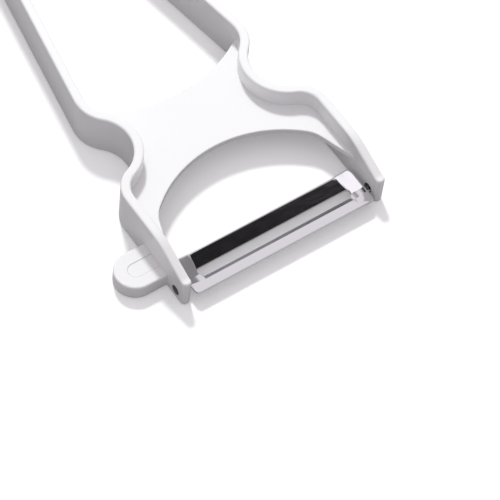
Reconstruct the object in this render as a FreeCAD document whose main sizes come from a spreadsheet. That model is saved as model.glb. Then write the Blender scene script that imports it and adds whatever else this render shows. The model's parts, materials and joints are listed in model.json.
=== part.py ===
# Y-shaped vegetable peeler: a one-piece moulded frame and the slotted blade that swings in its arm tips.
# In the sketches the blade's pivot axis runs along X through the origin and the grip lies towards +Y.
# The frame is mirrored about x = 0, apart from the eye remover on the -X arm, and rests on z = 0.
import FreeCAD
import Part
import Sketcher
import math
import os
from types import SimpleNamespace

Vector = FreeCAD.Vector

# Driving dimensions in millimetres and degrees; places along the frame are measured from the pivot axis
sizeTable = {
    # moulded strip
    "fork_width": 60.0,           # over the outer faces of the two arms
    "wall": 2.5,                  # thickness of the strip
    "frame_height": 13.0,         # height of the strip
    "edge_round": 0.6,            # rounding of the strip's long edges
    "shoulder_radius": 6.8,       # middle of the strip, where an arm turns in
    "waist_width": 37.8,          # over the outer faces at the narrowest place
    "waist_radius": 10.5,         # middle of the strip, finger hollow
    "waist_place": 38.8,          # pivot axis to the narrowest place
    "knuckle_width": 49.8,        # over the outer faces where the grip is widest
    "knuckle_radius": 8.6,        # middle of the strip
    "grip_end_width": 32.3,       # over the outer faces beside the end of the grip
    "grip_corner_radius": 9.0,    # middle of the strip
    "grip_crown_radius": 40.0,    # middle of the strip, gentle arch of the end
    "grip_reach": 118.0,          # pivot axis to the outer face of the end
    # web between the grip opening and the fork window
    "web_thickness": 1.7,
    "web_level": 6.9,             # middle of the web above the rest plane
    "web_round": 0.3,             # rounding of the web's two free edges
    "opening_edge": 45.9,         # pivot axis to the grip opening, on the middle line
    "opening_radius": 40.9,
    "window_edge": 27.7,          # pivot axis to the top of the fork window
    "window_spring": 13.1,        # pivot axis to where the window's arch would meet an arm
    "window_corner_radius": 8.0,
    "ledge_end": 6.6,             # pivot axis to where the web runs out on an arm
    "ledge_length": 6.6,          # tapered ledge of the web along an arm
    "ledge_width": 2.3,           # ledge at its wide end
    # arm tips
    "tip_reach": 3.45,            # pivot axis to the front of an arm
    "tip_height": 8.75,           # arm height at the front
    "tip_land": 1.6,              # level top at the front
    "land_blend": 3.0,
    "tip_corner": 1.15,           # rounding of the front, seen from above
    "taper_start": 9.0,           # pivot axis to where the arm starts to get lower
    "taper_blend": 14.0,
    # eye remover
    "tab_reach": 11.1,            # from the outer face of the arm
    "tab_width": 10.8,
    "tab_place": 9.1,             # pivot axis to the middle of the tab
    "tab_height": 4.5,
    "tab_round": 0.5,
    "recess_reach": 7.65,         # shallow recess on top of the tab, from the outer face of the arm
    "recess_width": 4.0,
    "recess_place": 8.95,         # pivot axis to the middle of the recess
    "recess_depth": 0.11,
    # pivot
    "pivot_height": 2.8,          # pivot axis above the rest plane
    "pivot_bore": 2.75,           # diameter
    "bore_mouth": 1.0,            # depth of the round mouth on the outer face
    "swing": 35.0,                # free swing of the blade each way
    "stop_clearance": 0.03,       # between the tongue and the stop flanks at the end of the swing
    # blade
    "sheet": 0.6,                 # thickness
    "side_gap": 1.0,              # between the blade's end and the inner face of the arm
    "heel_reach": 4.4,            # axis to the back edge of the cutting rail, along the sheet
    "edge_place": 0.14,           # axis to the cutting edge behind it, along the sheet
    "slot_width": 2.4,
    "slot_corner": 1.0,
    "slot_land": 3.8,             # from the blade's end to the slot
    "bend_place": 1.3,            # axis to the bend line, along the sheet
    "guide_width": 5.5,           # bend line to the front edge of the guide rail, along the sheet
    "heel_tilt": 10.0,            # cutting rail, falling towards the slot
    "guide_tilt": 5.0,            # guide rail, rising from the slot
    "bevel_width": 1.4,           # ground bevel along the cutting edge
    "edge_thickness": 0.1,        # what the bevel leaves of the sheet
    "blade_corner": 1.2,
    "tongue_width": 2.5,
    "tongue_recess": 0.8,         # tongue end below the outer face of the arm
}

cutMargin = 3.0     # room that a cut runs past the material
tolerance = 0.01    # for finding edges by their place


# A size together with the sheet expression that drives it
class Dim:
    def __init__(self, value, text):
        self.value = value
        self.text = text

    def combine(self, other, sign, result):
        if not isinstance(other, Dim):
            other = Dim(other, str(other))
        return Dim(result(self.value, other.value), f"({self.text} {sign} {other.text})")

    def __add__(self, other):
        return self.combine(other, "+", lambda a, b: a + b)

    def __sub__(self, other):
        return self.combine(other, "-", lambda a, b: a - b)

    def __mul__(self, other):
        return self.combine(other, "*", lambda a, b: a * b)

    def __truediv__(self, other):
        return self.combine(other, "/", lambda a, b: a / b)

    def __neg__(self):
        return Dim(-self.value, f"(-1 * {self.text})")

    def sine(self):
        return Dim(math.sin(math.radians(self.value)), f"sin({self.text} * 1 deg)")

    def cosine(self):
        return Dim(math.cos(math.radians(self.value)), f"cos({self.text} * 1 deg)")


zero = Dim(0.0, "0")


def makeSheet(doc):
    sheet = doc.addObject("Spreadsheet::Sheet", "Sizes")
    for row, (name, value) in enumerate(sizeTable.items(), start=1):
        sheet.set(f"A{row}", name)
        sheet.set(f"B{row}", str(value))
        sheet.setAlias(f"B{row}", name)
    doc.recompute()
    return SimpleNamespace(**{name: Dim(value, f"Sizes.{name}") for name, value in sizeTable.items()})


def addDerived(s):
    s.armX = (s.fork_width - s.wall) / 2                # middle of an arm's wall
    s.outerX = s.fork_width / 2
    s.innerX = s.fork_width / 2 - s.wall
    s.bladeX = s.innerX - s.side_gap                    # blade end
    s.tongueX = s.outerX - s.tongue_recess              # tongue end
    s.webTop = s.web_level + s.web_thickness / 2
    s.webBottom = s.web_level - s.web_thickness / 2
    s.archRise = s.window_edge - s.window_spring
    s.archRadius = (s.innerX * s.innerX + s.archRise * s.archRise) / (s.archRise * 2)
    s.bladeFront = s.heel_reach * s.heel_tilt.cosine() + s.sheet / 2 * s.heel_tilt.sine()
    s.frameX = s.tab_reach / 2                          # the origin lies under the middle of the whole part
    s.frameY = (s.bladeFront - s.grip_reach) / 2


def bind(item, prop, dim):
    item.setExpression(prop, dim.text)


def originFeature(body, role):
    return next(item for item in body.Origin.OriginFeatures if item.Role == role)


def angleTo(start, end):
    return math.atan2(end[1] - start[1], end[0] - start[0])


def polar(centre, radius, angle):
    return centre[0] + radius * math.cos(angle), centre[1] + radius * math.sin(angle)


# A sketch on one of its body's origin planes, with its sizes bound to the sheet
class Drawing:
    def __init__(self, body, name, role, level=zero):
        self.sketch = body.newObject("Sketcher::SketchObject", name)
        self.sketch.AttachmentSupport = [(originFeature(body, role), "")]
        self.sketch.MapMode = "FlatFace"
        self.sketch.AttachmentOffset = FreeCAD.Placement(Vector(0, 0, level.value), FreeCAD.Rotation())
        bind(self.sketch, "AttachmentOffset.Base.z", level)

    def line(self, start, end):
        return self.sketch.addGeometry(Part.LineSegment(Vector(*start), Vector(*end)), False)

    def arc(self, centre, radius, startAngle, endAngle):
        circle = Part.Circle(Vector(*centre), Vector(0, 0, 1), radius)
        return self.sketch.addGeometry(Part.ArcOfCircle(circle, startAngle, endAngle), False)

    def circle(self, x, y, radius):
        geometry = self.sketch.addGeometry(Part.Circle(Vector(x.value, y.value), Vector(0, 0, 1), radius.value))
        self.place(geometry, 3, x, y)
        self.radius(geometry, radius)

    def spot(self, x, y):
        geometry = self.sketch.addGeometry(Part.Point(Vector(x.value, y.value)), True)
        self.place(geometry, 1, x, y)
        return geometry

    def relate(self, kind, *references):
        return self.sketch.addConstraint(Sketcher.Constraint(kind, *references))

    def measure(self, kind, references, dim):
        index = self.sketch.addConstraint(Sketcher.Constraint(kind, *references, dim.value))
        self.sketch.setExpression(f"Constraints[{index}]", dim.text)

    def across(self, geometry, end, x):
        if x is zero:
            self.relate("PointOnObject", geometry, end, -2)
        else:
            self.measure("DistanceX", (-1, 1, geometry, end), x)

    def along(self, geometry, end, y):
        if y is zero:
            self.relate("PointOnObject", geometry, end, -1)
        else:
            self.measure("DistanceY", (-1, 1, geometry, end), y)

    def place(self, geometry, end, x, y):
        self.across(geometry, end, x)
        self.along(geometry, end, y)

    def radius(self, geometry, dim):
        self.measure("Radius", (geometry,), dim)

    # Closed polygon through (x, y, rounding) corners; a corner with no rounding is sharp
    def outline(self, corners):
        count = len(corners)
        spots = [Vector(x.value, y.value) for x, y, rounding in corners]
        back = [(spots[i - 1] - spots[i]).normalize() for i in range(count)]
        ahead = [(spots[(i + 1) % count] - spots[i]).normalize() for i in range(count)]
        half = [back[i].getAngle(ahead[i]) / 2 for i in range(count)]
        trim = [corner[2].value / math.tan(half[i]) if corner[2] else 0.0 for i, corner in enumerate(corners)]
        arrive = [spots[i] + back[i] * trim[i] for i in range(count)]
        leave = [spots[i] + ahead[i] * trim[i] for i in range(count)]
        edges = [self.line(leave[i], arrive[(i + 1) % count]) for i in range(count)]
        for i, (x, y, rounding) in enumerate(corners):
            incoming = edges[i - 1]
            outgoing = edges[i]
            if rounding is None:
                self.relate("Coincident", incoming, 2, outgoing, 1)
                self.place(outgoing, 1, x, y)
                continue
            inward = (back[i] + ahead[i]).normalize()
            centre = spots[i] + inward * (rounding.value / math.sin(half[i]))
            ends = [(arrive[i], incoming, 2), (leave[i], outgoing, 1)]
            if back[i].cross(ahead[i]).z > 0:
                ends.reverse()
            corner = self.arc(centre, rounding.value, angleTo(centre, ends[0][0]), angleTo(centre, ends[1][0]))
            for arcEnd, (point, edge, edgeEnd) in enumerate(ends, start=1):
                self.relate("Tangent", edge, edgeEnd, corner, arcEnd)
            self.radius(corner, rounding)
            peak = self.spot(x, y)
            self.relate("PointOnObject", peak, 1, incoming)
            self.relate("PointOnObject", peak, 1, outgoing)

    # Strip of the given width along X from a root line to a half-round end on the -X side
    def tongue(self, rootX, endX, y, width):
        reach = endX.value + width.value / 2
        low = y.value - width.value / 2
        high = y.value + width.value / 2
        lower = self.line((reach, low), (rootX.value, low))
        root = self.line((rootX.value, low), (rootX.value, high))
        upper = self.line((rootX.value, high), (reach, high))
        end = self.arc((reach, y.value), width.value / 2, math.pi / 2, 3 * math.pi / 2)
        self.relate("Coincident", lower, 2, root, 1)
        self.relate("Coincident", root, 2, upper, 1)
        self.relate("Tangent", upper, 2, end, 1)
        self.relate("Tangent", end, 2, lower, 1)
        self.relate("Horizontal", lower)
        self.relate("Horizontal", upper)
        self.relate("Vertical", root)
        self.across(root, 1, rootX)
        self.place(end, 3, endX + width / 2, y)
        self.radius(end, width / 2)


def addPad(body, name, drawing, length, symmetric=False):
    pad = body.newObject("PartDesign::Pad", name)
    pad.Profile = drawing.sketch
    pad.SideType = "Symmetric" if symmetric else "One side"
    bind(pad, "Length", length)
    return pad


def addPocket(body, name, drawing, depth=None, reverse=False):
    pocket = body.newObject("PartDesign::Pocket", name)
    pocket.Profile = drawing.sketch
    if depth is None:
        pocket.SideType = "Symmetric"
        pocket.Type = "ThroughAll"
    else:
        pocket.Reversed = reverse
        bind(pocket, "Length", depth)
    return pocket


def addFillet(body, name, radius, chosen):
    base = body.Tip
    names = [f"Edge{i}" for i, edge in enumerate(base.Shape.Edges, start=1) if chosen(edge)]
    fillet = body.newObject("PartDesign::Fillet", name)
    fillet.Base = (base, names)
    bind(fillet, "Radius", radius)
    return fillet


def middleOf(edge):
    return edge.valueAt((edge.FirstParameter + edge.LastParameter) / 2)


def runsAlong(edge, direction):
    ends = [vertex.Point for vertex in edge.Vertexes]
    if edge.Curve.TypeId != "Part::GeomLine" or len(ends) < 2:
        return False
    return (ends[1] - ends[0]).cross(direction).Length < tolerance


# Middle line of the strip's left half, closed along the middle of the frame and across the arm tips
def drawHalfPlan(body, s):
    drawing = Drawing(body, "half_plan", "XY_Plane", s.web_level)
    waistX = (s.waist_width - s.wall) / 2 + s.waist_radius
    shoulderX = s.armX - s.shoulder_radius
    knuckleX = (s.knuckle_width - s.wall) / 2 - s.knuckle_radius
    cornerX = (s.grip_end_width - s.wall) / 2 - s.grip_corner_radius
    endY = s.grip_reach - s.wall / 2

    shoulderR = s.shoulder_radius.value
    waistR = s.waist_radius.value
    knuckleR = s.knuckle_radius.value
    cornerR = s.grip_corner_radius.value
    crownR = s.grip_crown_radius.value
    waist = (-waistX.value, s.waist_place.value)
    shoulderDrop = math.sqrt((shoulderR + waistR) ** 2 - (waistX.value - shoulderX.value) ** 2)
    shoulder = (-shoulderX.value, waist[1] - shoulderDrop)
    knuckleRise = math.sqrt((knuckleR + waistR) ** 2 - (waistX.value - knuckleX.value) ** 2)
    knuckle = (-knuckleX.value, waist[1] + knuckleRise)
    crown = (0.0, endY.value - crownR)
    corner = (-cornerX.value, crown[1] + math.sqrt((crownR - cornerR) ** 2 - cornerX.value ** 2))
    outward = angleTo(knuckle, corner) + math.acos((knuckleR - cornerR) / math.dist(knuckle, corner))

    tip = (-s.armX.value, -s.tip_reach.value)
    arm = drawing.line(tip, polar(shoulder, shoulderR, math.pi))
    turnIn = drawing.arc(shoulder, shoulderR, angleTo(shoulder, waist), math.pi)
    hollow = drawing.arc(waist, waistR, angleTo(waist, shoulder), angleTo(waist, knuckle))
    turnBack = drawing.arc(knuckle, knuckleR, outward, angleTo(knuckle, waist))
    side = drawing.line(polar(knuckle, knuckleR, outward), polar(corner, cornerR, outward))
    endTurn = drawing.arc(corner, cornerR, angleTo(crown, corner), outward)
    arch = drawing.arc(crown, crownR, math.pi / 2, angleTo(crown, corner))
    middle = drawing.line((0, endY.value), (0, tip[1]))
    front = drawing.line((0, tip[1]), tip)

    drawing.relate("Tangent", arm, 2, turnIn, 2)
    drawing.relate("Tangent", turnIn, 1, hollow, 1)
    drawing.relate("Tangent", hollow, 2, turnBack, 2)
    drawing.relate("Tangent", turnBack, 1, side, 1)
    drawing.relate("Tangent", side, 2, endTurn, 2)
    drawing.relate("Tangent", endTurn, 1, arch, 2)
    drawing.relate("Coincident", arch, 1, middle, 1)
    drawing.relate("Coincident", middle, 2, front, 1)
    drawing.relate("Coincident", front, 2, arm, 1)
    drawing.relate("Vertical", arm)
    drawing.relate("Vertical", middle)
    drawing.relate("Horizontal", front)
    drawing.place(arm, 1, -s.armX, -s.tip_reach)
    drawing.radius(turnIn, s.shoulder_radius)
    drawing.radius(hollow, s.waist_radius)
    drawing.place(hollow, 3, -waistX, s.waist_place)
    drawing.radius(turnBack, s.knuckle_radius)
    drawing.across(turnBack, 3, -knuckleX)
    drawing.radius(endTurn, s.grip_corner_radius)
    drawing.across(endTurn, 3, -cornerX)
    drawing.radius(arch, s.grip_crown_radius)
    drawing.across(arch, 3, zero)
    drawing.place(arch, 1, zero, endY)
    return drawing


# Everything of the left half that lies on the grip side of the web's opening edge
def drawGripOpening(body, s):
    drawing = Drawing(body, "grip_opening", "XY_Plane", s.web_level)
    farX = s.knuckle_width / 2
    farY = s.grip_reach + cutMargin
    centreY = s.opening_edge + s.opening_radius
    centre = (0.0, centreY.value)
    radius = s.opening_radius.value
    low = math.pi + math.acos(farX.value / radius)
    side = polar(centre, radius, low)
    rim = drawing.arc(centre, radius, low, 3 * math.pi / 2)
    middle = drawing.line((0, s.opening_edge.value), (0, farY.value))
    top = drawing.line((0, farY.value), (-farX.value, farY.value))
    flank = drawing.line((-farX.value, farY.value), side)
    drawing.relate("Coincident", rim, 2, middle, 1)
    drawing.relate("Coincident", middle, 2, top, 1)
    drawing.relate("Coincident", top, 2, flank, 1)
    drawing.relate("Coincident", flank, 2, rim, 1)
    drawing.relate("Horizontal", top)
    drawing.relate("Vertical", flank)
    drawing.place(rim, 3, zero, centreY)
    drawing.radius(rim, s.opening_radius)
    drawing.across(rim, 2, zero)
    drawing.place(middle, 2, zero, farY)
    drawing.across(flank, 1, -farX)
    return drawing


# Everything of the left half in front of the web: the fork window, down to the tapered ledge on the arm
def drawForkWindow(body, s):
    drawing = Drawing(body, "fork_window", "XY_Plane", s.web_level)
    farX = s.fork_width / 2 + cutMargin
    farY = -(s.tip_reach + cutMargin)
    archY = s.window_edge - s.archRadius
    arch = (0.0, archY.value)
    archR = s.archRadius.value
    cornerR = s.window_corner_radius.value
    ledgeEnd = Vector(-s.innerX.value, s.ledge_end.value)
    run = Vector(s.ledge_width.value, s.ledge_length.value).normalize()
    inside = Vector(run.y, -run.x)
    foot = ledgeEnd + inside * cornerR - Vector(*arch)
    reach = math.sqrt((archR - cornerR) ** 2 - (foot.Length ** 2 - foot.dot(run) ** 2)) - foot.dot(run)
    corner = Vector(*arch) + foot + run * reach
    touch = corner - inside * cornerR
    outer = ledgeEnd - run * ((farX.value - s.innerX.value) / run.x)

    rim = drawing.arc(arch, archR, math.pi / 2, angleTo(arch, corner))
    bend = drawing.arc(corner, cornerR, angleTo(arch, corner), angleTo(corner, touch))
    ledge = drawing.line(touch, outer)
    flank = drawing.line(outer, (-farX.value, farY.value))
    front = drawing.line((-farX.value, farY.value), (0, farY.value))
    middle = drawing.line((0, farY.value), (0, s.window_edge.value))
    drawing.relate("Tangent", rim, 2, bend, 1)
    drawing.relate("Tangent", bend, 2, ledge, 1)
    drawing.relate("Coincident", ledge, 2, flank, 1)
    drawing.relate("Coincident", flank, 2, front, 1)
    drawing.relate("Coincident", front, 2, middle, 1)
    drawing.relate("Coincident", middle, 2, rim, 1)
    drawing.relate("Vertical", flank)
    drawing.relate("Horizontal", front)
    drawing.place(rim, 3, zero, archY)
    drawing.radius(rim, s.archRadius)
    drawing.across(rim, 1, zero)
    drawing.radius(bend, s.window_corner_radius)
    narrow = drawing.spot(-s.innerX, s.ledge_end)
    wide = drawing.spot(s.ledge_width - s.innerX, s.ledge_end + s.ledge_length)
    drawing.relate("PointOnObject", narrow, 1, ledge)
    drawing.relate("PointOnObject", wide, 1, ledge)
    drawing.place(front, 1, -farX, farY)
    drawing.across(front, 2, zero)
    return drawing


# What is cut off the arm in side view: above its taper and the level land at its tip
def drawTipCut(body, s):
    drawing = Drawing(body, "tip_cut", "YZ_Plane")
    behindTaper = s.taper_start + s.taper_blend
    ahead = -(s.tip_reach + cutMargin)
    above = s.frame_height + cutMargin
    drawing.outline([
        (behindTaper, s.frame_height, None),
        (s.taper_start, s.frame_height, s.taper_blend),
        (s.tip_land - s.tip_reach, s.tip_height, s.land_blend),
        (ahead, s.tip_height, None),
        (ahead, above, None),
        (behindTaper, above, None),
    ])
    return drawing


# Bow-tie hole: the flat tongue turns between two wedges, which stop it at each end of its swing
def drawSwingStop(body, s):
    drawing = Drawing(body, "swing_stop", "YZ_Plane")
    bore = s.pivot_bore / 2
    room = s.sheet / 2 + s.stop_clearance
    peak = room / s.swing.cosine()
    gentle = s.swing - s.heel_tilt
    steep = s.swing + s.heel_tilt
    centre = (0.0, s.pivot_height.value)
    rest = -math.radians(s.heel_tilt.value)
    spread = math.radians(s.swing.value) + math.asin(room.value / bore.value)
    ahead = drawing.arc(centre, bore.value, rest - spread, rest + spread)
    behind = drawing.arc(centre, bore.value, rest + math.pi - spread, rest + math.pi + spread)
    for sector in (ahead, behind):
        drawing.place(sector, 3, zero, s.pivot_height)
        drawing.radius(sector, bore)

    leanX = peak * s.heel_tilt.sine()
    leanY = peak * s.heel_tilt.cosine()
    wedges = (
        (leanX, s.pivot_height + leanY, (ahead, 2, gentle.cosine(), gentle.sine()),
         (behind, 1, -steep.cosine(), steep.sine())),
        (-leanX, s.pivot_height - leanY, (behind, 2, -gentle.cosine(), -gentle.sine()),
         (ahead, 1, steep.cosine(), -steep.sine())),
    )
    for apexX, apexY, *flanks in wedges:
        edges = []
        for sector, end, aimX, aimY in flanks:
            outerEnd = drawing.sketch.getPoint(sector, end)
            edge = drawing.line(outerEnd, (apexX.value, apexY.value))
            drawing.relate("Coincident", edge, 1, sector, end)
            aim = drawing.spot(apexX + aimX, apexY + aimY)
            drawing.relate("PointOnObject", aim, 1, edge)
            edges.append(edge)
        drawing.relate("Coincident", edges[0], 2, edges[1], 2)
        drawing.place(edges[0], 2, apexX, apexY)
    return drawing


def placeBody(body, s, height):
    bind(body, "Placement.Base.x", s.frameX)
    bind(body, "Placement.Base.y", s.frameY)
    bind(body, "Placement.Base.z", height)


def buildFrame(doc, s):
    body = doc.addObject("PartDesign::Body", "moulded_frame")
    body.Label = "moulded_frame"
    plan = drawHalfPlan(body, s)
    addPad(body, "web", plan, s.web_thickness, symmetric=True)
    addPocket(body, "grip_side", drawGripOpening(body, s))
    addPocket(body, "fork_side", drawForkWindow(body, s))
    section = Drawing(body, "strip_section", "XZ_Plane", s.tip_reach)
    section.outline([
        (-s.outerX, zero, None),
        (-s.innerX, zero, None),
        (-s.innerX, s.frame_height, None),
        (-s.outerX, s.frame_height, None),
    ])
    doc.recompute()

    def onStrip(edge):
        middle = middleOf(edge)
        return abs(middle.x) > tolerance and abs(middle.y + s.tip_reach.value) > tolerance

    strip = body.newObject("PartDesign::AdditivePipe", "strip")
    strip.Profile = section.sketch
    path = [f"Edge{i}" for i, edge in enumerate(plan.sketch.Shape.Edges, start=1) if onStrip(edge)]
    strip.Spine = (plan.sketch, path)
    addPocket(body, "arm_tip", drawTipCut(body, s))
    doc.recompute()
    bothSides = body.newObject("PartDesign::Mirrored", "both_sides")
    bothSides.TransformMode = "Whole shape"
    bothSides.MirrorPlane = (originFeature(body, "YZ_Plane"), [""])
    body.Tip = bothSides
    doc.recompute()
    roundFrame(doc, body, s)
    addTab(doc, body, s)
    addPivots(doc, body, s)
    placeBody(body, s, zero)
    return body


def roundFrame(doc, body, s):
    def onFront(edge):
        return runsAlong(edge, Vector(0, 0, 1)) and abs(middleOf(edge).y + s.tip_reach.value) < tolerance

    addFillet(body, "tip_round", s.tip_corner, onFront)
    doc.recompute()

    def onRim(edge):
        middle = middleOf(edge)
        if runsAlong(edge, Vector(1, 0, 0)) or runsAlong(edge, Vector(0, 0, 1)):
            return False
        if middle.y < s.ledge_end.value - tolerance:
            return True
        return middle.z < tolerance or middle.z > s.webTop.value + tolerance

    addFillet(body, "rim_round", s.edge_round, onRim)
    doc.recompute()

    def onWebEdge(edge):
        middle = middleOf(edge)
        atFace = min(abs(middle.z - s.webTop.value), abs(middle.z - s.webBottom.value)) < tolerance
        beyond = abs(middle.x) < s.waist_width.value / 2 - s.wall.value - tolerance
        return atFace and beyond

    addFillet(body, "web_round", s.web_round, onWebEdge)
    doc.recompute()


# Eye remover: a round-ended tab on the outer face of the -X arm, with a shallow recess on top
def addTab(doc, body, s):
    outline = Drawing(body, "tab_outline", "XY_Plane")
    outline.tongue(-s.armX, -(s.outerX + s.tab_reach), s.tab_place, s.tab_width)
    addPad(body, "tab", outline, s.tab_height)
    doc.recompute()

    def onTabRim(edge):
        middle = middleOf(edge)
        level = middle.z < tolerance or abs(middle.z - s.tab_height.value) < tolerance
        return level and middle.x < -s.outerX.value - tolerance

    addFillet(body, "tab_round", s.tab_round, onTabRim)
    recess = Drawing(body, "recess_outline", "XY_Plane", s.tab_height)
    recess.tongue(-s.outerX, -(s.outerX + s.recess_reach), s.recess_place, s.recess_width)
    addPocket(body, "tab_recess", recess, s.recess_depth)
    doc.recompute()


# Pivot holes: the stop profile right through both arms and a round mouth on each outer face
def addPivots(doc, body, s):
    addPocket(body, "pivot_holes", drawSwingStop(body, s))
    for side, x in (("left", -s.outerX), ("right", s.outerX)):
        mouth = Drawing(body, f"{side}_mouth_circle", "YZ_Plane", x)
        mouth.circle(zero, s.pivot_height, s.pivot_bore / 2)
        addPocket(body, f"{side}_mouth", mouth, s.bore_mouth, reverse=side == "left")
    doc.recompute()


# Point of the cutting rail's section: run along the sheet from the axis towards the slot, rise across it
def onHeel(s, run, rise):
    sine = s.heel_tilt.sine()
    cosine = s.heel_tilt.cosine()
    return run * cosine + rise * sine, rise * cosine - run * sine


def buildBlade(doc, s):
    body = doc.addObject("PartDesign::Body", "swivel_blade")
    body.Label = "swivel_blade"
    half = s.sheet / 2
    bendY, bendZ = onHeel(s, s.bend_place, zero)
    lean = (s.heel_tilt - s.guide_tilt) / 2
    mitre = half / ((s.heel_tilt + s.guide_tilt) / 2).cosine()
    frontY = bendY + s.guide_width * s.guide_tilt.cosine()
    frontZ = bendZ + s.guide_width * s.guide_tilt.sine()
    slopeY = half * s.guide_tilt.sine()
    slopeZ = half * s.guide_tilt.cosine()
    heelTop = onHeel(s, -s.heel_reach, half)
    heelFoot = onHeel(s, -s.heel_reach, -half)
    section = Drawing(body, "blade_section", "YZ_Plane")
    section.outline([
        (*heelFoot, None),
        (bendY - mitre * lean.sine(), bendZ - mitre * lean.cosine(), None),
        (frontY + slopeY, frontZ - slopeZ, None),
        (frontY - slopeY, frontZ + slopeZ, None),
        (bendY + mitre * lean.sine(), bendZ + mitre * lean.cosine(), None),
        (*heelTop, None),
    ])
    addPad(body, "sheet", section, s.tongueX * 2, symmetric=True)

    ends = Drawing(body, "end_cuts", "XY_Plane")
    tongueY = s.tongue_width / 2 * s.heel_tilt.cosine()
    for x, farX in ((-s.bladeX, -(s.outerX + cutMargin)), (s.bladeX, s.outerX + cutMargin)):
        for y, farY in ((tongueY, frontY + cutMargin), (-tongueY, -(s.heel_reach + cutMargin))):
            ends.outline([(x, y, None), (farX, y, None), (farX, farY, None), (x, farY, None)])
    addPocket(body, "tongues", ends)

    slot = Drawing(body, "slot_outline", "XY_Plane")
    slotX = s.bladeX - s.slot_land
    slotBack = -s.edge_place * s.heel_tilt.cosine()
    slotFront = slotBack + s.slot_width
    slot.outline([
        (-slotX, slotBack, s.slot_corner),
        (slotX, slotBack, s.slot_corner),
        (slotX, slotFront, s.slot_corner),
        (-slotX, slotFront, s.slot_corner),
    ])
    addPocket(body, "slot", slot)

    bevel = Drawing(body, "bevel_section", "YZ_Plane")
    bevelStart = -(s.edge_place + s.bevel_width)
    slope = (s.sheet - s.edge_thickness) / s.bevel_width
    past = s.bend_place / 2
    drop = half - slope * (past - bevelStart)
    bevel.outline([
        (*onHeel(s, bevelStart, half), None),
        (*onHeel(s, past, drop), None),
        (*onHeel(s, past, s.sheet), None),
        (*onHeel(s, bevelStart, s.sheet), None),
    ])
    ground = body.newObject("PartDesign::Pocket", "bevel")
    ground.Profile = bevel.sketch
    ground.SideType = "Symmetric"
    bind(ground, "Length", (slotX - s.slot_corner) * 2)
    doc.recompute()

    def onCorner(edge):
        middle = middleOf(edge)
        atEnd = abs(abs(middle.x) - s.bladeX.value) < tolerance and not runsAlong(edge, Vector(1, 0, 0))
        atSide = min(abs(middle.y - frontY.value), abs(middle.y - (heelTop[0].value + heelFoot[0].value) / 2))
        return atEnd and atSide < tolerance and edge.Length < s.sheet.value + tolerance

    addFillet(body, "corners", s.blade_corner, onCorner)
    placeBody(body, s, s.pivot_height)
    doc.recompute()
    return body


def checkModel(doc, bodies):
    for item in doc.Objects:
        if "Invalid" in item.State or "Error" in item.State:
            raise RuntimeError(f"{item.Name}: {item.State} {item.getStatusString()}")
    for body in bodies:
        shape = body.Shape
        if shape.isNull() or not shape.isValid() or len(shape.Solids) != 1:
            raise RuntimeError(f"{body.Label}: the shape is not one valid solid")
        box = shape.optimalBoundingBox(False, False)
        low = f"{box.XMin:.2f} {box.YMin:.2f} {box.ZMin:.2f}"
        high = f"{box.XMax:.2f} {box.YMax:.2f} {box.ZMax:.2f}"
        print(f"{body.Label}: {shape.Volume:.1f} mm3, from {low} to {high}")


def main():
    doc = FreeCAD.newDocument("peeler")
    s = makeSheet(doc)
    addDerived(s)
    bodies = [buildFrame(doc, s), buildBlade(doc, s)]
    doc.recompute()
    checkModel(doc, bodies)
    os.makedirs("parts", exist_ok=True)
    for body in bodies:
        body.Shape.exportStep(f"parts/{body.Label}.step")


main()
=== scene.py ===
# Looks of a Y-shaped vegetable peeler: a white moulded frame and a swivelling steel blade
import json
import math

import bpy
from mathutils import Matrix, Vector


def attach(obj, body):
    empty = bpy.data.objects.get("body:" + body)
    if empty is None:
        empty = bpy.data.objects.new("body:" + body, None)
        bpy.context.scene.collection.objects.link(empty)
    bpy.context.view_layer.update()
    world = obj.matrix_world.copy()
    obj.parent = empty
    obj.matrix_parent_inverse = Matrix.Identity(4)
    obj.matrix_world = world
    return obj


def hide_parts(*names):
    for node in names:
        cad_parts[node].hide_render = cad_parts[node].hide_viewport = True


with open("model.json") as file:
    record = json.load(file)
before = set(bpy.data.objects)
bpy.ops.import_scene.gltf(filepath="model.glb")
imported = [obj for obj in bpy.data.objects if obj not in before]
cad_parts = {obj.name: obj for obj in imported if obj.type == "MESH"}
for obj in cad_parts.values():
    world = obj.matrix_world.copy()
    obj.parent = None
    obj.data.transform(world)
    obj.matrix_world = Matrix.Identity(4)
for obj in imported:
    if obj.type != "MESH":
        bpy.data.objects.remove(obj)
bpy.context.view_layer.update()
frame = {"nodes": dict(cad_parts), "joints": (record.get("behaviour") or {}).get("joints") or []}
mm = 0.001
white = (1, 1, 1, 1)
bladeAxis = Vector(frame["joints"][0]["pos_m"])


# camera

cameraSet = {
    "azimuth": -40.835,       # degrees round the part, 0 looks along +Y
    "elevation": 56.370,
    "roll": 7.70,
    "distance": 0.64803,
    "target": (-0.001355, -0.055331, 0.0),
    "lens": 190.277,          # millimetres, as is the sensor's width
    "sensor": 36,
    "clip": (0.01, 50),
}


def addCamera(v):
    turn = math.radians(v["azimuth"])
    lift = math.radians(v["elevation"])
    roll = math.radians(v["roll"])
    back = Vector((math.sin(turn) * math.cos(lift), -math.cos(turn) * math.cos(lift), math.sin(lift)))
    right = Vector((math.cos(turn), math.sin(turn), 0))
    up = back.cross(right)
    tilted = right * math.cos(roll) + up * math.sin(roll)
    data = bpy.data.cameras.new("camera")
    data.lens = v["lens"]
    data.sensor_width = v["sensor"]
    data.clip_start, data.clip_end = v["clip"]
    camera = bpy.data.objects.new("camera", data)
    turned = Matrix((tilted, back.cross(tilted), back)).transposed().to_4x4()
    camera.matrix_world = Matrix.Translation(Vector(v["target"]) + back * v["distance"]) @ turned
    bpy.context.scene.collection.objects.link(camera)
    bpy.context.scene.camera = camera


# nodes

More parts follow.
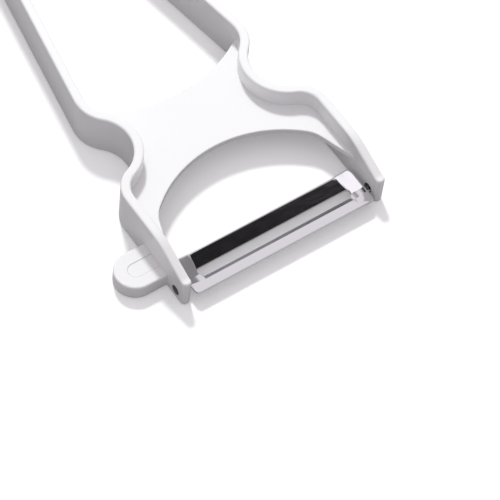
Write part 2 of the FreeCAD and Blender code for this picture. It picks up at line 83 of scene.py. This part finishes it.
def newMaterial(name):
    material = bpy.data.materials.new(name)
    material.use_nodes = True
    nodes = material.node_tree.nodes
    return material, nodes, material.node_tree.links, nodes["Principled BSDF"]


# joins value to socket, whether it is a number, a colour or another node's output
def feed(links, value, socket):
    if isinstance(value, bpy.types.NodeSocket):
        links.new(value, socket)
    else:
        socket.default_value = value


def mathNode(nodes, links, kind, first, second=0.0):
    node = nodes.new("ShaderNodeMath")
    node.operation = kind
    feed(links, first, node.inputs[0])
    feed(links, second, node.inputs[1])
    return node.outputs[0]


def rangeNode(nodes, links, value, fromMin, fromMax, toMin, toMax, smooth=False):
    node = nodes.new("ShaderNodeMapRange")
    node.interpolation_type = "SMOOTHSTEP" if smooth else "LINEAR"
    feed(links, value, node.inputs["Value"])
    feed(links, fromMin, node.inputs["From Min"])
    feed(links, fromMax, node.inputs["From Max"])
    feed(links, toMin, node.inputs["To Min"])
    feed(links, toMax, node.inputs["To Max"])
    return node.outputs["Result"]


def valueMix(nodes, links, factor, first, second, kind="FLOAT"):
    node = nodes.new("ShaderNodeMix")
    node.data_type = kind
    feed(links, factor, node.inputs["Factor"])
    feed(links, first, node.inputs["A"])
    feed(links, second, node.inputs["B"])
    return node.outputs["Result"]


def colourMix(nodes, links, factor, first, second):
    return valueMix(nodes, links, factor, first, second, "RGBA")


# noise on the piece's own coordinates, scaled per metre along each axis
def pieceNoise(nodes, links, scale, detail):
    place = nodes.new("ShaderNodeTexCoord")
    spread = nodes.new("ShaderNodeMapping")
    spread.inputs["Scale"].default_value = scale
    links.new(place.outputs["Object"], spread.inputs["Vector"])
    noise = nodes.new("ShaderNodeTexNoise")
    noise.inputs["Scale"].default_value = 1.0
    noise.inputs["Detail"].default_value = detail
    links.new(spread.outputs["Vector"], noise.inputs["Vector"])
    return noise.outputs["Fac"]


# floor, world and key lamp

stageSet = {
    "floorSize": 6.0,
    "floorDrop": 0.00005,
    "floorSeen": (0.88, 0.88, 0.88, 1),      # as the camera sees it
    "floorGloss": (0.50, 0.50, 0.505, 1),    # as gloss and steel show it
    "floorBounce": (0.355, 0.355, 0.36, 1),  # as it lights the part from below
    "floorGlow": 0.20,                       # keeps the shadow on the floor light
    "floorRoughness": 0.9,
    "skyColour": (1.0, 0.955, 1.01, 1),
    "skyLow": 0.28,                          # soft fill at the horizon and overhead
    "skyHigh": 0.78,
    "steelBright": 0.86,                     # pale surroundings in the steel
    "steelDark": 0.012,                      # dark ceiling in the steel
    # heights on the unit sphere where the dark ceiling starts and is full
    "brightTo": 0.826,
    "darkFrom": 0.867,
    # a soft box and a dark card, seen only in gloss, with the reach in degrees
    "steelPatches": [
        {"way": (0.082, 0.39, 0.918), "reach": (7, 10), "level": 1.2},
        {"way": (0.606, 0.30, 0.736), "reach": (7.5, 10.5), "level": 0.26},
    ],
    "keyFrom": (0.204, 0.539, 0.817),        # way from the origin to the key lamp
    "keyDistance": 0.9,
    "keySize": 0.12,
    "keyPower": 5.05,
    "keyColour": (0.985, 1.02, 0.98),
}


def addFloor(v):
    half = v["floorSize"] / 2
    mesh = bpy.data.meshes.new("floor")
    corners = [(-half, -half), (half, -half), (half, half), (-half, half)]
    mesh.from_pydata([(x, y, -v["floorDrop"]) for x, y in corners], [], [(0, 1, 2, 3)])
    floor = bpy.data.objects.new("floor", mesh)
    bpy.context.scene.collection.objects.link(floor)
    material, nodes, links, shader = newMaterial("paleFloor")
    path = nodes.new("ShaderNodeLightPath").outputs
    seen = path["Is Camera Ray"]
    bounce = colourMix(nodes, links, path["Is Glossy Ray"], v["floorBounce"], v["floorGloss"])
    colour = colourMix(nodes, links, seen, bounce, v["floorSeen"])
    links.new(colour, shader.inputs["Base Color"])
    glow = mathNode(nodes, links, "MULTIPLY", seen, v["floorGlow"])
    links.new(glow, shader.inputs["Emission Strength"])
    shader.inputs["Emission Color"].default_value = white
    shader.inputs["Roughness"].default_value = v["floorRoughness"]
    shader.inputs["Specular IOR Level"].default_value = 0.0
    mesh.materials.append(material)


# soft fill for the part, a ceiling and patches for its gloss, white for the camera
def addWorld(v):
    world = bpy.data.worlds.new("studio")
    bpy.context.scene.world = world
    world.use_nodes = True
    nodes = world.node_tree.nodes
    links = world.node_tree.links
    background = nodes["Background"]
    path = nodes.new("ShaderNodeLightPath")
    place = nodes.new("ShaderNodeTexCoord")
    split = nodes.new("ShaderNodeSeparateXYZ")
    links.new(place.outputs["Generated"], split.inputs[0])
    height = split.outputs["Z"]
    fill = rangeNode(nodes, links, height, 0.0, 1.0, v["skyLow"], v["skyHigh"])
    steel = rangeNode(nodes, links, height, v["brightTo"], v["darkFrom"],
                      v["steelBright"], v["steelDark"], True)
    for patch in v["steelPatches"]:
        near = nodes.new("ShaderNodeVectorMath")
        near.operation = "DOT_PRODUCT"
        links.new(place.outputs["Generated"], near.inputs[0])
        near.inputs[1].default_value = Vector(patch["way"]).normalized()
        inner, outer = [math.cos(math.radians(angle)) for angle in patch["reach"]]
        inside = rangeNode(nodes, links, near.outputs["Value"], outer, inner, 0.0, 1.0, True)
        steel = valueMix(nodes, links, inside, steel, patch["level"])
    lit = valueMix(nodes, links, path.outputs["Is Glossy Ray"], fill, steel)
    seen = path.outputs["Is Camera Ray"]
    colour = colourMix(nodes, links, seen, v["skyColour"], white)
    links.new(colour, background.inputs["Color"])
    strength = valueMix(nodes, links, seen, lit, 1.0)
    links.new(strength, background.inputs["Strength"])


def addLamp(v):
    data = bpy.data.lights.new("key", "AREA")
    data.shape = "DISK"
    data.size = v["keySize"]
    data.energy = v["keyPower"]
    data.color = v["keyColour"]
    key = bpy.data.objects.new("key", data)
    way = Vector(v["keyFrom"]).normalized()
    key.location = way * v["keyDistance"]
    key.rotation_mode = "QUATERNION"
    key.rotation_quaternion = way.to_track_quat("Z", "Y")
    key.visible_glossy = False
    bpy.context.scene.collection.objects.link(key)


# white moulding

plasticSet = {
    "colour": (0.885, 0.885, 0.888, 1),
    "shade": (0.873, 0.873, 0.877, 1),
    "cloud": (45, 45, 45),                    # soft variation, per metre
    "cloudDetail": 3,
    "grain": (1100, 1100, 1100),              # fine skin of the moulding, per metre
    "grainDetail": 4,
    "grainRange": (0.3, 0.7),                 # of the noise, spread over the roughness
    "roughness": (0.20, 0.25),
    "grainDepth": 0.0000006,
    "ior": 1.49,
    "holeShade": (0.035, 0.026, 0.028, 1),         # painted shade, near black, in the pivot holes
    "holeShadeReach": (0.00136, 0.00142),          # reach of the painted shade round the pivot axis
    "rimLine": (0.73, 0.725, 0.727, 1),          # thin darker line round the rim of the tab's recess
    "recessEnd": (-0.0301, -0.047857),        # middle of the recess's round end
    "rimLineStart": (0.00182, 0.00194),          # from the recess's middle line
    "rimLineEnd": (0.00206, 0.00218),
    "rimLineLevel": (0.004, 0.0041),
    "tabRoot": (-0.02455, -0.02448),          # just short of the arm's outer face
}


# the piece's own coordinates
def piecePlace(nodes, links):
    place = nodes.new("ShaderNodeTexCoord")
    split = nodes.new("ShaderNodeSeparateXYZ")
    links.new(place.outputs["Object"], split.inputs[0])
    return split.outputs


def distance(nodes, links, first, second):
    squares = [mathNode(nodes, links, "MULTIPLY", side, side) for side in (first, second)]
    return mathNode(nodes, links, "SQRT", mathNode(nodes, links, "ADD", *squares))


# 1 on what lies close to the pivot axis, 0 elsewhere: where shade is painted into the pivot holes
def inHole(nodes, links, v):
    place = piecePlace(nodes, links)
    across = mathNode(nodes, links, "SUBTRACT", place["Y"], bladeAxis.y)
    above = mathNode(nodes, links, "SUBTRACT", place["Z"], bladeAxis.z)
    away = distance(nodes, links, across, above)
    return rangeNode(nodes, links, away, *v["holeShadeReach"], 1.0, 0.0)


# 1 along the rim of the tab's recess, 0 elsewhere
def inRecess(nodes, links, v):
    x, y, z = piecePlace(nodes, links)
    endX, endY = v["recessEnd"]
    beyond = mathNode(nodes, links, "MAXIMUM", mathNode(nodes, links, "SUBTRACT", endX, x), 0.0)
    away = distance(nodes, links, beyond, mathNode(nodes, links, "SUBTRACT", y, endY))
    mask = rangeNode(nodes, links, away, *v["rimLineStart"], 0.0, 1.0)
    limits = ((away, "rimLineEnd", 1, 0), (z, "rimLineLevel", 0, 1), (x, "tabRoot", 1, 0))
    for value, name, low, high in limits:
        step = rangeNode(nodes, links, value, *v[name], low, high)
        mask = mathNode(nodes, links, "MULTIPLY", mask, step)
    return mask


def whiteMoulding(v):
    material, nodes, links, shader = newMaterial("whiteMoulding")
    cloud = pieceNoise(nodes, links, v["cloud"], v["cloudDetail"])
    skin = colourMix(nodes, links, cloud, v["colour"], v["shade"])
    # a thin darker line is coloured round the rim of the tab's recess
    rimLined = colourMix(nodes, links, inRecess(nodes, links, v), skin, v["rimLine"])
    # painted shade: the pivot holes are coloured near black
    holeShaded = colourMix(nodes, links, inHole(nodes, links, v), rimLined, v["holeShade"])
    links.new(holeShaded, shader.inputs["Base Color"])
    grain = pieceNoise(nodes, links, v["grain"], v["grainDetail"])
    rough = rangeNode(nodes, links, grain, *v["grainRange"], *v["roughness"])
    links.new(rough, shader.inputs["Roughness"])
    bump = nodes.new("ShaderNodeBump")
    bump.inputs["Distance"].default_value = v["grainDepth"]
    links.new(grain, bump.inputs["Height"])
    links.new(bump.outputs["Normal"], shader.inputs["Normal"])
    shader.inputs["IOR"].default_value = v["ior"]
    return material


# blade steel

steelSet = {
    "colour": (0.79, 0.79, 0.80, 1),
    "groundColour": (0.42, 0.41, 0.44, 1),
    "polishLines": (250, 9000, 9000),      # fine lines along the sheet, per metre
    "groundLines": (14000, 400, 400),      # marks of the grinding wheel, across the cutting edge
    "lineDetail": 3,
    "lineRange": (0.3, 0.7),               # of the noise, spread over the roughness
    "roughness": (0.05, 0.13),
    "groundRoughness": (0.22, 0.42),
    "lineDepth": 0.0000004,
    "groundDepth": 0.000002,
}


def bladeSteel(v):
    material, nodes, links, shader = newMaterial("bladeSteel")
    ground = nodes.new("ShaderNodeAttribute")
    ground.attribute_name = "ground"
    onBevel = ground.outputs["Fac"]
    polish = pieceNoise(nodes, links, v["polishLines"], v["lineDetail"])
    wheel = pieceNoise(nodes, links, v["groundLines"], v["lineDetail"])
    colour = colourMix(nodes, links, onBevel, v["colour"], v["groundColour"])
    links.new(colour, shader.inputs["Base Color"])
    smooth = rangeNode(nodes, links, polish, *v["lineRange"], *v["roughness"])
    rough = rangeNode(nodes, links, wheel, *v["lineRange"], *v["groundRoughness"])
    links.new(valueMix(nodes, links, onBevel, smooth, rough), shader.inputs["Roughness"])
    polishHeight = mathNode(nodes, links, "MULTIPLY", polish, v["lineDepth"])
    wheelHeight = mathNode(nodes, links, "MULTIPLY", wheel, v["groundDepth"])
    bump = nodes.new("ShaderNodeBump")
    bump.inputs["Distance"].default_value = 1.0
    links.new(valueMix(nodes, links, onBevel, polishHeight, wheelHeight), bump.inputs["Height"])
    links.new(bump.outputs["Normal"], shader.inputs["Normal"])
    shader.inputs["Metallic"].default_value = 1.0
    return material


# blade: a flat blank with tongues, slot and ground bevel, then folded along its length

bladeSet = {
    "halfLength": 26.5,       # millimetres; places across the sheet are measured from the pivot axis
    "tongueEnd": 29.2,
    "tongueWidth": 2.5,
    "tongueRound": 0.5,
    "tongueLine": 1 / 3,      # cutting edge's line on a tongue, of its half width
    "sheet": 0.6,
    "heel": -4.4,             # back edge of the cutting rail
    "front": 6.8,             # front edge of the guide rail
    "cornerRadius": 1.2,
    "slotHalf": 22.7,
    "slotBack": -0.14,        # cutting edge
    "slotFront": 2.25,
    "slotRadius": 1.0,
    "bevelWidth": 1.4,
    "bevelDepth": 0.5,
    "honedShare": 0.15,       # bright strip along the cutting edge
    "honedDepth": 0.05,
    "bevelFade": (21.8, 22.3),    # where the bevel runs out before the end of the slot
    "edgeRound": 0.12,        # deburred edges
    "frontRound": 0.26,       # smooth front edge of the guide rail
    "frontReach": 0.42,
    "roundShare": 0.45,       # the most of the thickness that one rounding takes
    "roundSteps": 4,
    "cornerSteps": 6,
    "heelTilt": 10,           # degrees
    "guideTilt": 5,
    "foldPlace": 1.3,
    "foldReach": 0.7,         # half width of the fold
    "landPlace": 22.5,        # the end lands stay flat, from beside the slot up to the tongues
    "landStep": 0.12,         # width of the step to them
    "landLean": 0.15,         # slant of the step towards the front edge
    "leanRange": (18.5, 21.5, 23.0, 25.0),
    "landEnd": (26.2, 27.3),
    "landFold": 11,           # degrees
    "landFoldPlace": -0.6,
    "landClimb": 9,           # degrees, upwards to the arms
    "climbRange": (-3.2, 0.4),    # it grows evenly across the sheet, past the round corners
    "slotCells": 16,          # grid steps along half the slot, a land and a tongue
    "landCells": 5,
    "tongueCells": 3,
    "railShares": (0, 1 / 3, 2 / 3),          # lines across the cutting rail and the slot
    "guideShares": (0, 0.15, 0.4, 0.7, 1),    # and across the guide rail
    "sharpAngle": 24.5,       # degrees between faces, where shading breaks
    "faceWeight": 100,        # even shading of the flat faces
}

# columns of one station, counted from the back edge
columnAt = {"bevel": 3, "honed": 4, "slot": 5, "guide": 8, "front": 12}


# how far a rounded corner has come in at x
def roundIn(x, end, radius):
    past = x - (end - radius)
    if past <= 0:
        return 0.0
    return radius - math.sqrt(max(radius * radius - past * past, 0.0))


# eases from 0 to 1 between two limits
def fade(x, limits):
    share = min(max((x - limits[0]) / (limits[1] - limits[0]), 0.0), 1.0)
    return share * share * (3 - 2 * share)


# equal steps from start to end, without the start
def evenly(start, end, count):
    return [start + (end - start) * i / count for i in range(1, count + 1)]


# places along the blade, from end to end
def bladeStations(v):
    slotStart = v["slotHalf"] - v["slotRadius"]
    cornerStart = v["halfLength"] - v["cornerRadius"]
    tongueStart = v["tongueEnd"] - v["tongueRound"]
    turns = [math.sin(math.pi / 2 * i / v["cornerSteps"]) for i in range(1, v["cornerSteps"] + 1)]
    landStart = v["landPlace"] - v["landStep"]
    half = evenly(0.0, slotStart, v["slotCells"])
    half += [slotStart + v["slotRadius"] * t for t in turns]
    half = sorted(set(half + [landStart, v["landPlace"]]))
    half += evenly(v["slotHalf"], cornerStart, v["landCells"])
    half += [cornerStart + v["cornerRadius"] * t for t in turns]
    half += evenly(v["halfLength"], tongueStart, v["tongueCells"])
    half += [tongueStart + v["tongueRound"] * t for t in turns[:-1]]
    return [-x for x in reversed(half)] + [0.0] + half


# places across the sheet at one station
def bladeColumns(v, x):
    far = abs(x)
    bevelStart = v["slotBack"] - v["bevelWidth"]
    tongue = v["tongueWidth"] / 2
    tongueLine = tongue * v["tongueLine"]
    corner = roundIn(min(far, v["halfLength"]), v["halfLength"], v["cornerRadius"])
    if far <= v["slotHalf"]:
        inset = roundIn(far, v["slotHalf"], v["slotRadius"])
        marks = [bevelStart, v["slotBack"] + inset, v["slotFront"] - inset]
    elif far <= v["halfLength"]:
        share = (far - v["slotHalf"]) / (v["halfLength"] - v["slotHalf"])
        near = [bevelStart, v["slotBack"] + v["slotRadius"], v["slotFront"] - v["slotRadius"]]
        end = [-tongue, tongueLine, tongue]
        marks = [a + (b - a) * share for a, b in zip(near, end)]
    else:
        inset = roundIn(far, v["tongueEnd"], v["tongueRound"])
        marks = [inset - tongue, tongueLine, tongue - inset]
    marks = [v["heel"] + corner] + marks + [v["front"] - corner]
    shares = [v["railShares"], (0, 1 - v["honedShare"]), v["railShares"], v["guideShares"]]
    return [a + (b - a) * share for a, b, row in zip(marks, marks[1:], shares) for share in row]


# cells between stations and columns that hold sheet
def bladeCells(v, stations):
    cells = set()
    for i in range(len(stations) - 1):
        far = abs(stations[i] + stations[i + 1]) / 2
        for j in range(columnAt["front"]):
            onTongue = columnAt["bevel"] <= j < columnAt["guide"]
            inSlot = columnAt["slot"] <= j < columnAt["guide"] and far < v["slotHalf"]
            if not inSlot and (far < v["halfLength"] or onTongue):
                cells.add((i, j))
    return cells


# start and end of each rim edge, with the sheet on its left
def rimEdges(cells):
    rim = {}
    for i, j in cells:
        sides = [((i, j), (i + 1, j), (i, j - 1)), ((i + 1, j), (i + 1, j + 1), (i + 1, j)),
                 ((i + 1, j + 1), (i, j + 1), (i, j + 1)), ((i, j + 1), (i, j), (i - 1, j))]
        for start, end, neighbour in sides:
            if neighbour not in cells:
                rim[start] = end
    return rim


# how far an end land has climbed at a place of the flat sheet
def landLift(v, far, across):
    low, high = v["climbRange"]
    lift = max(far - v["landPlace"], 0.0) * math.tan(math.radians(v["landClimb"]))
    lift *= min(max((across - low) / (high - low), 0.0), 1.0)
    return lift * (1 - fade(far, v["landEnd"]))


# section of a rounded edge from the top down, as pairs of inset and height
def edgeProfile(v, top, bottom, atFront):
    radius = min(v["frontRound"] if atFront else v["edgeRound"], (top - bottom) * v["roundShare"])
    reach = v["frontReach"] if atFront else radius
    steps = v["roundSteps"]
    turns = [math.pi / 2 * i / steps for i in range(steps + 1)]
    upper = [(reach * (1 - math.sin(t)), top - radius * (1 - math.cos(t))) for t in turns]
    lower = [(reach * (1 - math.sin(t)), radius * (1 - math.cos(t)) + bottom) for t in reversed(turns)]
    return upper + lower


def bladeBlank(v):
    stations = bladeStations(v)
    columns = [bladeColumns(v, x) for x in stations]
    cells = bladeCells(v, stations)
    rim = rimEdges(cells)
    before = {end: start for start, end in rim.items()}
    half = v["sheet"] / 2
    landStart = (v["landPlace"] - v["landStep"], v["landPlace"])
    depths = {columnAt["honed"]: v["bevelDepth"] - v["honedDepth"], columnAt["slot"]: v["bevelDepth"]}

    # upper side of the sheet, lowered by the bevel
    def topHeight(i, j):
        return half - depths.get(j, 0.0) * (1 - fade(abs(stations[i]), v["bevelFade"]))

    # a corner of the grid on the flat sheet, slanted beside the step to a land
    def spot(key):
        x = stations[key[0]]
        y = columns[key[0]][key[1]]
        lean = v["landLean"] * max(y - v["slotFront"], 0.0)
        lean *= fade(abs(x), v["leanRange"][:2]) * (1 - fade(abs(x), v["leanRange"][2:]))
        return Vector((x - math.copysign(lean, x), y))

    # square to the rim, into the sheet
    def inward(key):
        way = (spot(key) - spot(before[key])).normalized() + (spot(rim[key]) - spot(key)).normalized()
        return Vector((-way.y, way.x)).normalized()

    points = []
    lands = []
    rings = {}
    for key in sorted({(i + a, j + b) for i, j in cells for a in (0, 1) for b in (0, 1)}):
        place = spot(key)
        top = topHeight(*key)
        far = abs(stations[key[0]])
        land = fade(far, landStart) * (1 - fade(far, v["landEnd"]))
        lift = landLift(v, far, place.y)
        step = Vector((0, 0))
        profile = [(0.0, top), (0.0, -half)]
        if key in rim:
            step = inward(key)
            profile = edgeProfile(v, top, -half, key[1] == columnAt["front"])
        rings[key] = list(range(len(points), len(points) + len(profile)))
        for inset, height in profile:
            points.append((place.x + step.x * inset, place.y + step.y * inset, height + lift))
        lands += [land] * len(profile)

    faces = []
    ground = []
    for i, j in sorted(cells):
        ring = [rings[i, j], rings[i + 1, j], rings[i + 1, j + 1], rings[i, j + 1]]
        faces.append([r[0] for r in ring])
        worn = 1 - fade(abs(stations[i] + stations[i + 1]) / 2, v["bevelFade"])
        ground.append(worn if j == columnAt["bevel"] else 0.0)
        faces.append([r[-1] for r in reversed(ring)])
        ground.append(0.0)
    for start, end in sorted(rim.items()):
        a = rings[start]
        b = rings[end]
        for k in range(len(a) - 1):
            faces.append([a[k], a[k + 1], b[k + 1], b[k]])
            ground.append(0.0)

    mesh = bpy.data.meshes.new("bladeBlank")
    mesh.from_pydata([tuple(c * mm for c in p) for p in points], [], faces)
    marks = mesh.attributes.new("ground", "FLOAT", "FACE")
    marks.data.foreach_set("value", ground)
    pressed = mesh.attributes.new("land", "FLOAT", "POINT")
    pressed.data.foreach_set("value", lands)
    mesh.shade_smooth()
    mesh.set_sharp_from_angle(angle=math.radians(v["sharpAngle"]))

    # crisp lines: both sides of the bevel, and both sides of the step to each land
    bevelSides = (columnAt["bevel"], columnAt["honed"])
    creases = [{rings[key][0] for key in rings if key[1] == column} for column in bevelSides]
    for i, x in enumerate(stations):
        if abs(x) in landStart:
            creases.append({point for key, ring in rings.items() if key[0] == i for point in ring})
    for edge in mesh.edges:
        if any(crease.issuperset(edge.vertices) for crease in creases):
            edge.use_edge_sharp = True
    return mesh


# folds a flat sheet: X runs along the folds, Y across the sheet and Z through it
# where the attribute "land" is 1, the second fold takes the place of the first
def foldTree():
    tree = bpy.data.node_groups.new("foldSheet", "GeometryNodeTree")
    face = tree.interface
    face.new_socket("Sheet", in_out="INPUT", socket_type="NodeSocketGeometry")
    for name in ("Heel tilt", "Fold", "Fold place", "Land fold", "Land fold place", "Fold reach"):
        face.new_socket(name, in_out="INPUT", socket_type="NodeSocketFloat")
    face.new_socket("Axis", in_out="INPUT", socket_type="NodeSocketVector")
    face.new_socket("Finish", in_out="INPUT", socket_type="NodeSocketMaterial")
    face.new_socket("Blade", in_out="OUTPUT", socket_type="NodeSocketGeometry")
    nodes = tree.nodes
    links = tree.links
    given = nodes.new("NodeGroupInput").outputs

    def calc(kind, first, second=0.0):
        return mathNode(nodes, links, kind, first, second)

    place = nodes.new("ShaderNodeSeparateXYZ")
    links.new(nodes.new("GeometryNodeInputPosition").outputs[0], place.inputs[0])
    along, across, through = place.outputs

    # turns what lies past the fold about it
    def bend(angle, foldPlace):
        start = calc("SUBTRACT", foldPlace, given["Fold reach"])
        end = calc("ADD", foldPlace, given["Fold reach"])
        turn = rangeNode(nodes, links, across, start, end, 0.0, angle, True)
        past = calc("SUBTRACT", across, foldPlace)
        sine = calc("SINE", turn)
        cosine = calc("COSINE", turn)
        newRun = calc("SUBTRACT", calc("MULTIPLY", past, cosine), calc("MULTIPLY", through, sine))
        newRise = calc("ADD", calc("MULTIPLY", past, sine), calc("MULTIPLY", through, cosine))
        return calc("ADD", newRun, foldPlace), newRise

    land = nodes.new("GeometryNodeInputNamedAttribute")
    land.data_type = "FLOAT"
    land.inputs["Name"].default_value = "land"
    rail = bend(given["Fold"], given["Fold place"])
    flat = bend(given["Land fold"], given["Land fold place"])
    run, rise = [valueMix(nodes, links, land.outputs["Attribute"], a, b) for a, b in zip(rail, flat)]
    tiltSine = calc("SINE", given["Heel tilt"])
    tiltCosine = calc("COSINE", given["Heel tilt"])
    y = calc("ADD", calc("MULTIPLY", run, tiltCosine), calc("MULTIPLY", rise, tiltSine))
    z = calc("SUBTRACT", calc("MULTIPLY", rise, tiltCosine), calc("MULTIPLY", run, tiltSine))
    folded = nodes.new("ShaderNodeCombineXYZ")
    for value, socket in zip((along, y, z), folded.inputs):
        links.new(value, socket)
    placed = nodes.new("ShaderNodeVectorMath")
    links.new(folded.outputs[0], placed.inputs[0])
    links.new(given["Axis"], placed.inputs[1])
    move = nodes.new("GeometryNodeSetPosition")
    links.new(given["Sheet"], move.inputs["Geometry"])
    links.new(placed.outputs[0], move.inputs["Position"])
    real = nodes.new("GeometryNodeRealizeInstances")
    links.new(move.outputs[0], real.inputs[0])
    finish = nodes.new("GeometryNodeSetMaterial")
    links.new(real.outputs[0], finish.inputs["Geometry"])
    links.new(given["Finish"], finish.inputs["Material"])
    links.new(finish.outputs[0], nodes.new("NodeGroupOutput").inputs["Blade"])
    return tree


def addBlade(v, material):
    blank = bladeBlank(v)
    blade = bpy.data.objects.new("bladeSheet", blank)
    bpy.context.scene.collection.objects.link(blade)
    tree = foldTree()
    fold = blade.modifiers.new("fold", "NODES")
    fold.node_group = tree
    values = {
        "Heel tilt": math.radians(v["heelTilt"]),
        "Fold": math.radians(v["heelTilt"] + v["guideTilt"]),
        "Fold place": v["foldPlace"] * mm,
        "Land fold": math.radians(v["landFold"]),
        "Land fold place": v["landFoldPlace"] * mm,
        "Fold reach": v["foldReach"] * mm,
        "Axis": bladeAxis,
        "Finish": material,
    }
    for socket in tree.interface.items_tree:
        if socket.in_out == "INPUT" and socket.name in values:
            fold[socket.identifier] = values[socket.name]
    even = blade.modifiers.new("even", "WEIGHTED_NORMAL")
    even.weight = v["faceWeight"]
    even.keep_sharp = True
    shaped = blade.evaluated_get(bpy.context.evaluated_depsgraph_get())
    mesh = bpy.data.meshes.new_from_object(shaped)
    blade.modifiers.clear()
    blade.data = mesh
    bpy.data.meshes.remove(blank)
    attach(blade, "blade")
    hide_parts("swivel_blade")


def dress(node, material):
    mesh = frame["nodes"][node].data
    mesh.materials.clear()
    mesh.materials.append(material)


addCamera(cameraSet)
addFloor(stageSet)
addWorld(stageSet)
addLamp(stageSet)
print("stage: camera, floor, world and key lamp")

dress("moulded_frame", whiteMoulding(plasticSet))
print("frame: white moulding")

addBlade(bladeSet, bladeSteel(steelSet))
print("blade: folded steel sheet")

bpy.context.scene.view_settings.view_transform = "Standard"
